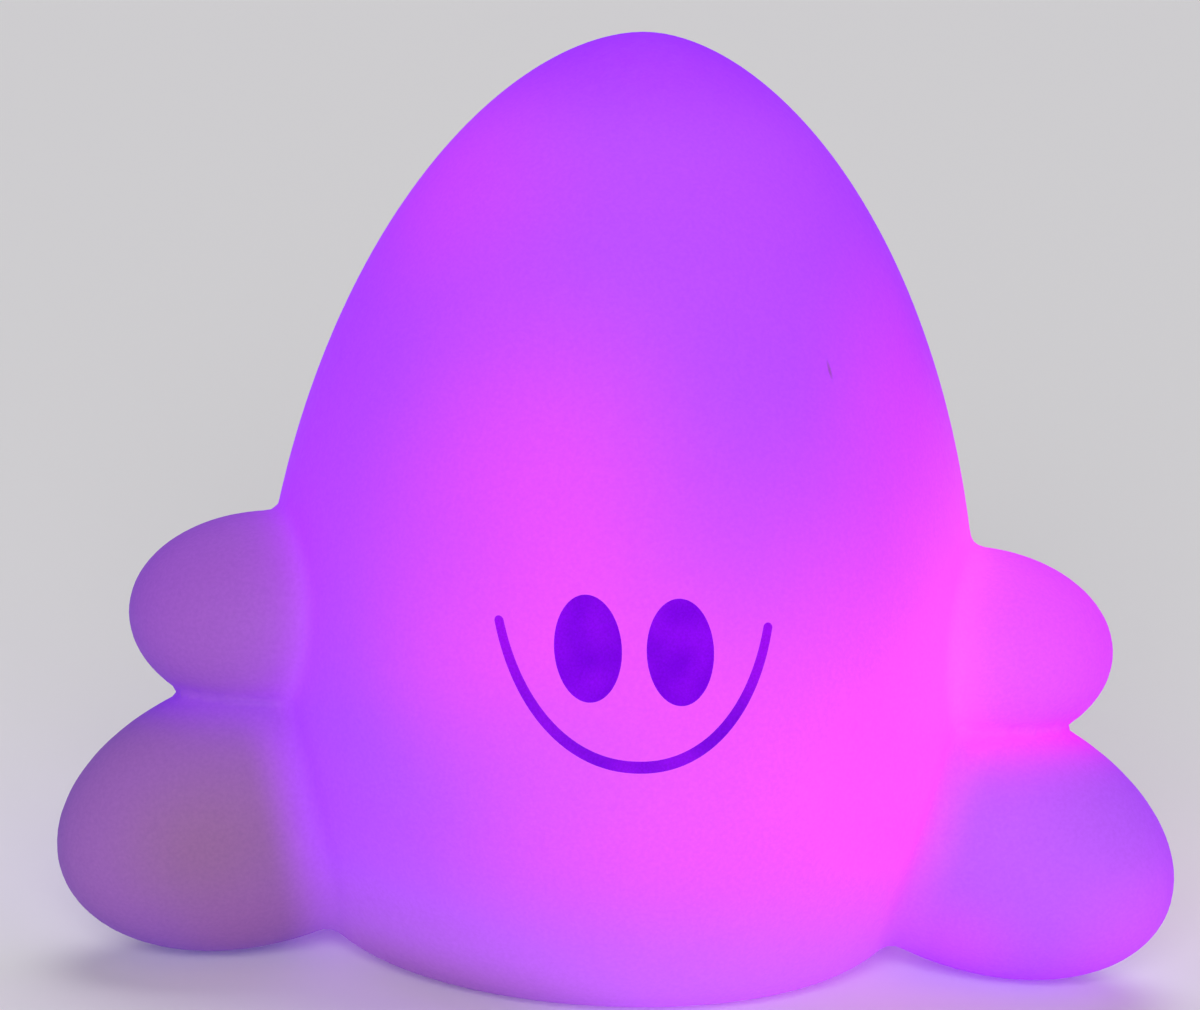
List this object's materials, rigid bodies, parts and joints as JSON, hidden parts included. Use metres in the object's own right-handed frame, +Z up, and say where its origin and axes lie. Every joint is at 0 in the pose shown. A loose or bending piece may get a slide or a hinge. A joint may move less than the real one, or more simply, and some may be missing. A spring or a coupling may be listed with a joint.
{
  "type": "light-up ghost figure",
  "caption": "Rounded smiling ghost with stubby arms and feet: a soft skin glowing over a battery light with a slide switch and a screwed battery door underneath.",
  "frame": {"origin": "middle of the resting face, on the surface the figure stands on", "axes": "+Z up, -Y the face, +X the viewer's right when facing it"},
  "size_m": [0.144, 0.0948, 0.12],
  "materials": {
    "silicone_skin": "matte translucent silicone, lit from inside",
    "face_ink": "matte printed colour",
    "white_plastic": "fine moulded texture",
    "black_plastic": "satin",
    "foam": "open-cell foam",
    "screw_steel": "zinc plated",
    "cell_steel": "bright nickel",
    "contact_metal": "nickel plated spring steel",
    "circuit_board": "solder mask",
    "lamp_red": "clear tinted resin",
    "lamp_blue": "clear tinted resin",
    "lamp_green": "clear tinted resin",
    "capacitor_can": "satin can",
    "frosted_cover": "frosted diffusing plastic",
    "lead_red": "insulation",
    "lead_black": "insulation",
    "lead_white": "insulation"
  },
  "bodies": {
    "figure": {"ghost_skin": "silicone_skin", "eye_left": "face_ink", "eye_right": "face_ink", "smile": "face_ink", "base_plate": "white_plastic", "base_cup": "white_plastic", "base_screw_1": "screw_steel", "base_screw_2": "screw_steel", "base_screw_3": "screw_steel", "flat_contact": "contact_metal", "spring_contact": "contact_metal", "contact_spring": "contact_metal", "button_cell_1": "cell_steel", "button_cell_2": "cell_steel", "button_cell_3": "cell_steel", "switch_body": "black_plastic", "led_board": "circuit_board", "board_screw_1": "screw_steel", "board_screw_2": "screw_steel", "board_screw_3": "screw_steel", "led_red": "lamp_red", "led_blue": "lamp_blue", "led_green": "lamp_green", "resistor_1": "black_plastic", "resistor_2": "black_plastic", "resistor_3": "black_plastic", "controller_chip": "black_plastic", "filter_capacitor": "capacitor_can", "led_cover": "frosted_cover", "lead_red": "lead_red", "lead_black": "lead_black", "lead_white": "lead_white"},
    "door": {"battery_door": "white_plastic", "door_pad": "foam", "door_screw_1": "screw_steel", "door_screw_2": "screw_steel"},
    "switch_slider": {"switch_knob": "black_plastic"}
  },
  "joints": [
    {"name": "power_switch", "type": "slide", "parent": "figure", "child": "switch_slider", "axis": [-1, 0, 0], "range_m": [0, 0.003]},
    {"name": "battery_door_off", "type": "slide", "parent": "figure", "child": "door", "axis": [0, 0, -1], "range_m": [0, 0.025]}
  ]
}
